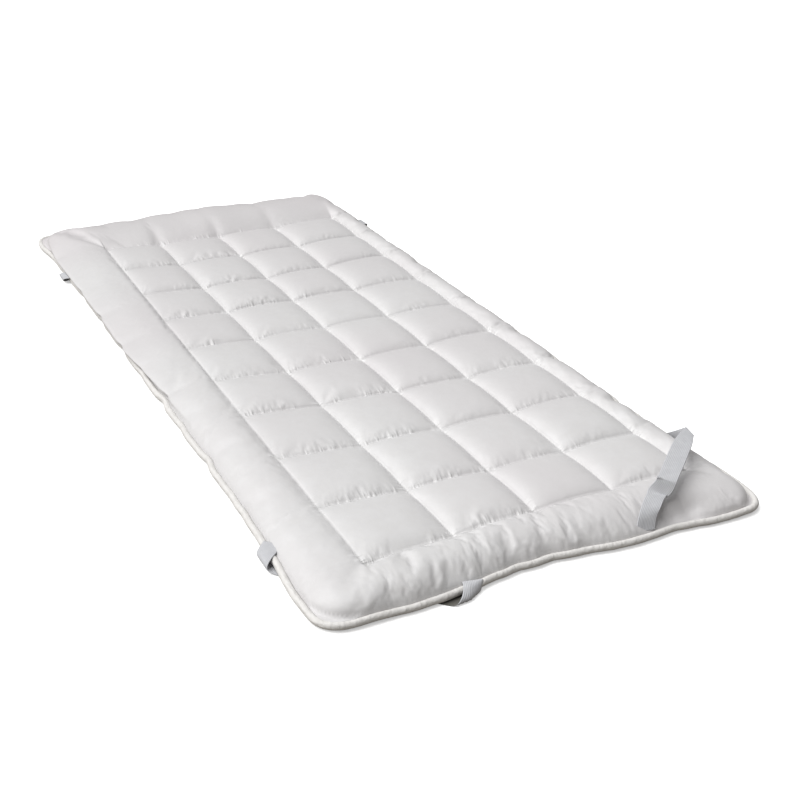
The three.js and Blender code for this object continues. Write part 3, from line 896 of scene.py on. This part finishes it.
piping = piping_tube()
cord_cover, tree, shader = new_material("cord_cover", {
    "Sheen Weight": 0.2,
    "Sheen Roughness": 0.4,
    "Specular IOR Level": 0.4,
})
weave, place = woven(tree, {
    "Threads": 1500, "Thread Depth": 0.09 * MM, "Mottle Scale": 90, "Mottle Depth": 0.3 * MM,
    "Light Tone": (0.76, 0.745, 0.725, 1), "Dark Tone": (0.69, 0.672, 0.65, 1),
})
bias = {"Vector": place, "Rotation": (0.0, 0.0, np.radians(45)), "Scale": (1.0, 0.35, 1.0)}
turned = add_node(tree, "Mapping", bias).outputs["Vector"]
folds = math_node(tree, "MULTIPLY", contrast(tree, noise(tree, turned, 170, 1.0), 0.4, 0.75), 0.7 * MM)
finish_shader(
    tree, shader,
    weave["Color"],
    from_to(tree, weave["Mottle"], 0.68, 0.52),
    math_node(tree, "ADD", weave["Height"], folds),
)
piping.data.materials.append(cord_cover)
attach(piping, "root")
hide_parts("piping")


# ---- Corner straps ---------------------------------------------------------------------------------
# Four bands of white woven elastic, 35 mm wide. Each end is caught in the edge seam above the piping.
# Three bands pass round the edge and under their corner; the near right one stands up over its corner.

STRAP_WIDTH = 35 * MM
STRAP_THICKNESS = 1.6 * MM
STRAP_SIDES = 11  # points across one face
STRAP_STEP = 2.5 * MM
STRAP_GAP = {"beside": 0.3 * MM, "above": 0.6 * MM}  # between a strap and the piping
PIPING_DEPTH = EDGE_INSET - 0.7 * MM  # from the outline in to where the straps are sewn, less that gap
SEWN_DEPTH = 1.2 * MM
LOOP_REACH = 20 * MM  # how far a loop stands out from the middle of the piping
LOOP_ROWS = 60
PROFILE_STEPS = 65  # round the half ellipse
LEVEL_RUN = 60 * MM  # of the profile that a strap's end follows, in the seam and on the ground
FLAT_PART = (0.2, 0.8)  # of the way from one loop to the other has rows of its own
FLAT_ROWS = 9


def side_foot(side, y):
    """Where a strap is sewn into a long side: the point on the edge, and the directions out of the body
    and along the edge towards the corner."""
    x = outline_x(side, np.array(y)) - side * (PIPING_DEPTH + STRAP_GAP["beside"])
    return np.array([x, y, 0]), np.array([side, 0, 0]), np.array([0, np.sign(y), 0])


def end_foot(end, x):
    """The same on the near or far end."""
    y = outline_y(end, np.array([x, x + MM])) - end * (PIPING_DEPTH + STRAP_GAP["beside"])
    along = np.array([MM, y[1] - y[0], 0])
    return np.array([x, y[0], 0]), np.array([0, end, 0]), unit(along) * np.sign(x)


ACROSS = np.sin(np.linspace(-np.pi / 2, np.pi / 2, STRAP_SIDES))  # places across a strap, -1 to 1


def strap_loop(foot, slant, reach=(LOOP_REACH, LOOP_REACH), droop=1):
    """A strap's end, as rows of points across it: straight on the unrolled surface of a profile that
    comes level out of the seam, goes round the piping in half an ellipse and then lies on the ground.
    The strap moves along the edge by the slant for each mm of the profile, from the first slant to the
    second. The ellipse reaches out from the first amount at the strap's near side to the second a width
    further on. A droop over 1 lowers it between its ends: its height is the ellipse's to that power."""
    edge, out, along = foot
    fall = PIPING_HEIGHT + PIPING_RADIUS + STRAP_GAP["above"]
    middle = PIPING_DEPTH / 2 + STRAP_GAP["beside"]
    angle = np.linspace(np.pi / 2, -np.pi / 2, PROFILE_STEPS)
    bulge = np.pad(np.cos(angle), 1)
    level = np.pad(np.zeros(len(angle)), 1, constant_values=-LEVEL_RUN) + middle
    height = np.pad(STRAP_THICKNESS / 2 + fall * ((1 + np.sin(angle)) / 2) ** droop, 1, mode="edge")
    outward = level + np.mean(reach) * bulge
    run = distances(np.stack([outward, height], axis=-1)) - LEVEL_RUN
    sewn = -SEWN_DEPTH - STRAP_WIDTH / 2 * np.sin(np.arctan(slant[0]))
    laid = run[-2] + STRAP_WIDTH / 2 * np.sin(np.arctan(slant[1]))
    place, step = np.linspace(sewn, laid, LOOP_ROWS, retstep=True)
    lean = np.arctan(np.interp(place, (0, run[-2]), slant))[:, None]
    moved = np.cumsum(np.tan(lean), axis=0) * step
    moved -= np.interp(0, place, moved[:, 0])
    at = place[:, None] - np.sin(lean) * STRAP_WIDTH / 2 * ACROSS
    advance = moved + np.cos(lean) * STRAP_WIDTH / 2 * ACROSS
    reach_at = np.interp(advance, (-STRAP_WIDTH / 2, STRAP_WIDTH / 2), reach)
    out_at = np.interp(at, run, level) + reach_at * np.interp(at, run, bulge)
    height_at = np.interp(at, run, height)
    return edge + out_at[..., None] * out + advance[..., None] * along + height_at[..., None] * [0, 0, 1]


def under_strap(side, y, side_slant, end, x, end_slant, **end_shape):
    """The two loops of a strap, joined by a straight band flat on the ground, as rows across it. The
    flat rows keep away from both loops, whose last rows are slanted."""
    first = strap_loop(side_foot(side, y * MM), side_slant)
    last = strap_loop(end_foot(end, x * MM), end_slant, **end_shape)[::-1]
    t = np.linspace(*FLAT_PART, FLAT_ROWS)[:, None, None]
    start, stop = first[-1, STRAP_SIDES // 2], last[0, STRAP_SIDES // 2]
    direction = unit(stop - start)
    half = np.array([-direction[1], direction[0], 0]) * STRAP_WIDTH / 2
    half *= np.sign(half @ (first[-1, -1] - first[-1, 0]))
    flat = start * (1 - t) + stop * t + half * ACROSS[:, None]
    return np.concatenate([first, flat, last])


STANDING_STRAP = [  # in mm: centre x, y, z, and the vector from there to one edge
    (169, -971, 14, 17, -3, 0),
    (178, -962, 31, 17, -3, 0),
    (191, -952, 42, 16, -6, 0),
    (208, -938, 48, 16, -7, -1),
    (219, -931, 51, 15, -9, -1),
    (223, -928, 52, 10, -13, -6),
    (234, -929, 62, 10, -13, -8),
    (240, -927, 70, 11, -12, -7),
    (245, -923, 71, 14, -10, -1),
    (298, -876, 70, 12, -13, -1),
    (345, -834, 68, 8, -15, -1),
    (393, -794, 64, -3, -17, 0),
    (399, -787, 61, -3, -17, 0),
    (406, -755, 38, -1, -17, 0),
    (413, -722, 15, 0, -17.5, 0),
]


def through(given, steps):
    """A Catmull-Rom curve through the rows: each stretch is the cubic whose slope at either end is half
    the difference of the rows beside it."""
    rows = np.array(given, dtype=float)
    ends = np.concatenate([[2 * rows[0] - rows[1]], rows, [2 * rows[-1] - rows[-2]]])
    t = (np.arange(steps) / steps)[None, :, None]
    before, here, following, after = (ends[k:k + len(rows) - 1, None] for k in range(4))
    curve = 0.5 * (
        2 * here + (following - before) * t
        + (2 * before - 5 * here + 4 * following - after) * t ** 2
        + (3 * here - before - 3 * following + after) * t ** 3
    )
    return np.concatenate([curve.reshape(-1, rows.shape[1]), rows[-1:]])


STRAP_EDGE = 0.55  # of its thickness is left at a strap's edges
STRAP_WAVE = 0.35 * MM
STRAP_WAVE_LENGTH = 25 * MM
STRAP_WAVE_SPREAD = 20 * MM  # of the noise, from the middle of a strap to its edge
STRAP_WAVE_START = 40 * MM  # from either end before it waves fully
STRAP_CLEARANCE = 0.1 * MM  # over the ground


def band(name, rows, painted_shade, rng):
    """A woven band from rows of points across its middle layer, laid at even steps along it: both faces
    are half the thickness out along the normal, thinner towards the two edges, with a slight wave. Its
    UV map holds metres across and along, and a point attribute marks the last stretch of its inner
    face, over the given length, for the painted shade of the loop under the pad. Returns it and its
    length."""
    run = distances(rows[:, STRAP_SIDES // 2])
    count = int(run[-1] / STRAP_STEP)
    at = np.linspace(0, run[-1], count)
    step = np.interp(at, run, np.arange(len(run)))
    low = np.minimum(step.astype(int), len(run) - 2)
    rows = rows[low] + (rows[low + 1] - rows[low]) * (step - low)[:, None, None]
    normal = -surface_normals(rows)
    across = np.concatenate([ACROSS, ACROSS[::-1]])
    face = np.repeat([1, -1], STRAP_SIDES)
    thick = STRAP_THICKNESS / 2 * (STRAP_EDGE + (1 - STRAP_EDGE) * np.sqrt(1 - across ** 6)) * face
    ends = np.minimum(1, np.minimum(at, at[-1] - at) / STRAP_WAVE_START)
    wave_at = np.broadcast_arrays(at[:, None], across * STRAP_WAVE_SPREAD)
    wave = STRAP_WAVE * lattice_noise(*wave_at, STRAP_WAVE_LENGTH, rng)
    lift = np.abs(wave) * (1 - np.abs(across)) * ends[:, None]
    points = np.concatenate([rows, rows[:, ::-1]], axis=1)
    points = points + np.concatenate([normal, normal[:, ::-1]], axis=1) * (thick + lift)[..., None]
    points[..., 2] = np.maximum(points[..., 2], STRAP_CLEARANCE)
    sides = 2 * STRAP_SIDES
    quads = tube_quads(count, sides)[:-sides].tolist()
    first_ring = np.arange(sides)
    last_ring = first_ring[::-1] + (count - 1) * sides
    piece = mesh_piece(name, points, quads + [first_ring.tolist(), last_ring.tolist()])
    uv = np.stack(np.broadcast_arrays(across * STRAP_WIDTH / 2, at[:, None]), axis=-1)
    corners = np.empty(len(piece.data.loops), dtype=int)
    piece.data.loops.foreach_get("vertex_index", corners)
    layer = piece.data.uv_layers.new(name="thread_lines")
    layer.data.foreach_set("uv", uv.reshape(-1, 2)[corners].ravel())
    inner = face * np.sign(normal[0, :, 2].mean()) < 0
    painted_shade_points = (at > run[-1] - painted_shade)[:, None] & inner
    mark_points(piece, "painted_loop_shade", painted_shade_points.astype(np.float32).ravel())
    return piece, run[-1]


RIB_PITCH = 2.9 * MM
RIB_HEIGHT = 0.4 * MM
# Painted shade in the elastic's rib grooves.
GROOVE_SHADE_TONE = (0.47, 0.475, 0.5, 1)
# Painted shade: the dark tone of the near left strap's loop, where the pad shades its inner face.
PAINTED_SHADE_TONE = (0.12, 0.115, 0.1, 1)
PAINTED_SHADE_LENGTH = 130 * MM  # painted shade on the near left strap's inner face, from its near end up to here
elastic, tree, shader = new_material("woven_elastic", {
    "Sheen Weight": 0.2,
    "Sheen Roughness": 0.5,
    "Specular IOR Level": 0.3,
})
threads = add_node(tree, "UVMap", uv_map="thread_lines").outputs["UV"]
weave, _ = woven(tree, {
    "Vector": threads,
    "Threads": 1100, "Thread Depth": 0.12 * MM, "Mottle Scale": 60, "Mottle Depth": 0.2 * MM,
    "Light Tone": (0.6, 0.605, 0.625, 1), "Dark Tone": (0.53, 0.535, 0.555, 1),
})
across = add_node(tree, "SeparateXYZ", {"Vector": threads}).outputs["X"]
turns = math_node(tree, "MULTIPLY", across, np.pi / RIB_PITCH)
ribs = math_node(tree, "ABSOLUTE", math_node(tree, "SINE", turns))
# The rib grooves are painted darker, as painted shade.
ribbed = mixed(tree, contrast(tree, ribs, 0.0, 0.6), GROOVE_SHADE_TONE, weave["Color"])
# Painted shade: the marked stretch of the near left loop's inner face turns dark, for the shade under
# the pad.
painted_shade = add_node(tree, "Attribute", attribute_name="painted_loop_shade").outputs["Fac"]
finish_shader(
    tree, shader,
    mixed(tree, painted_shade, ribbed, PAINTED_SHADE_TONE),
    from_to(tree, weave["Mottle"], 0.8, 0.62),
    math_node(tree, "ADD", weave["Height"], math_node(tree, "MULTIPLY", ribs, RIB_HEIGHT)),
)

bent = through(STANDING_STRAP, 10) * MM  # each row is a centre and the vector from it to one edge
bent[:, 3:] = unit(bent[:, 3:]) * STRAP_WIDTH / 2
STRAP_LINES = {
    "strap_near_left": under_strap(
        -1, -742, (0.9, 0.9), -1, -166, (0.3, 1.6), reach=(4 * MM, 22 * MM), droop=2
    ),
    "strap_far_left": under_strap(-1, 650, (0.8, 0.8), 1, -165, (0.6, 0.6)),
    "strap_far_right": under_strap(1, 700, (0.7, 0.7), 1, 165, (0.6, 0.6)),
    "strap_near_right": bent[:, None, :3] + bent[:, None, 3:] * ACROSS[:, None],
}
for number, (node, rows) in enumerate(STRAP_LINES.items()):
    # Only the near left strap's loop gets the painted shade.
    painted_shade_run = PAINTED_SHADE_LENGTH if node == "strap_near_left" else 0
    strap, length = band("elastic_" + node, rows, painted_shade_run, np.random.default_rng(number))
    strap.data.materials.append(elastic)
    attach(strap, "root")
    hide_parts(node)


# ---- Floor, light and camera -----------------------------------------------------------------------
# A plain floor that shows white, under soft light from above and the far left. The camera stands beyond
# the near left corner.

FLOOR_REACH = 12
FLOOR_DROP = 0.3 * MM  # below the ground, clear of what lies on it
CORNERS = np.array([(-1, -1, 0), (1, -1, 0), (1, 1, 0), (-1, 1, 0)])
floor = mesh_piece("floor", CORNERS * FLOOR_REACH - [0, 0, FLOOR_DROP], [(0, 1, 2, 3)])
floor_paint, tree, shader = new_material("floor_paint", {
    "Roughness": 0.9,
    "Specular IOR Level": 0.1,
    "Emission Strength": 0.45,
})
seen = add_node(tree, "LightPath").outputs["Is Camera Ray"]
set_inputs(tree, shader, {
    "Base Color": mixed(tree, seen, (0.3, 0.28, 0.25, 1), (0.97, 0.97, 0.97, 1)),
    "Emission Color": mixed(tree, seen, (0, 0, 0, 1), (1, 1, 1, 1)),
})
floor.data.materials.append(floor_paint)


def placed(name, data, place, direction):
    """A lamp or camera at a place, turned so that it looks against a direction."""
    thing = bpy.data.objects.new(name, data)
    thing.location = place
    thing.rotation_euler = Vector(direction).to_track_quat("Z", "Y").to_euler()
    bpy.context.scene.collection.objects.link(thing)
    return thing


key = bpy.data.lights.new("key", "SUN")
key.angle = np.radians(70)  # a wide disc, so that shadows are soft
key.energy = 3.5
placed("key", key, (0, 0, 0), (-0.5, 0.3, 0.9))
world = bpy.data.worlds.new("studio")
world.use_nodes = True
sky = world.node_tree.nodes["Background"]
set_inputs(world.node_tree, sky, {"Color": (1, 1, 1, 1), "Strength": 0.22})
bpy.context.scene.world = world
bpy.context.scene.view_settings.view_transform = "Standard"

CAMERA_PLACE = Vector((-0.9984, -2.3895, 1.1570))
CAMERA_TARGET = Vector((0.0084, -0.3676, 0.026))
lens = bpy.data.cameras.new("camera")
lens.lens = 56.5
bpy.context.scene.camera = placed("camera", lens, CAMERA_PLACE, CAMERA_PLACE - CAMERA_TARGET)
